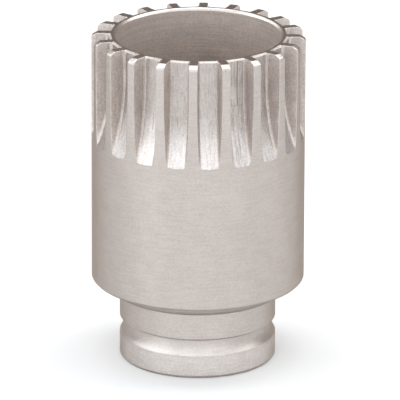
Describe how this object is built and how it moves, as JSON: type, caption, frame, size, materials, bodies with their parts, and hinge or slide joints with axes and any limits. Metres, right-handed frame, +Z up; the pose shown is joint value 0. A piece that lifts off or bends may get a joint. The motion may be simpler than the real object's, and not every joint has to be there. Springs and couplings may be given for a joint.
{
  "type": "bottom bracket tool",
  "caption": "Round one-piece socket with milled splines and a wide bore at one end, and a grooved neck with a square drive hole at the other.",
  "frame": {"origin": "centre of the drive end's flat face, on the axis", "axes": "+Z up the axis, from the drive end to the splined end; +X through the middle of one groove"},
  "size_m": [0.032, 0.032, 0.0506],
  "materials": {
    "satin_steel": "satin, fine blasted and plated"
  },
  "bodies": {
    "root": {"splined_socket": "satin_steel"}
  },
  "joints": []
}
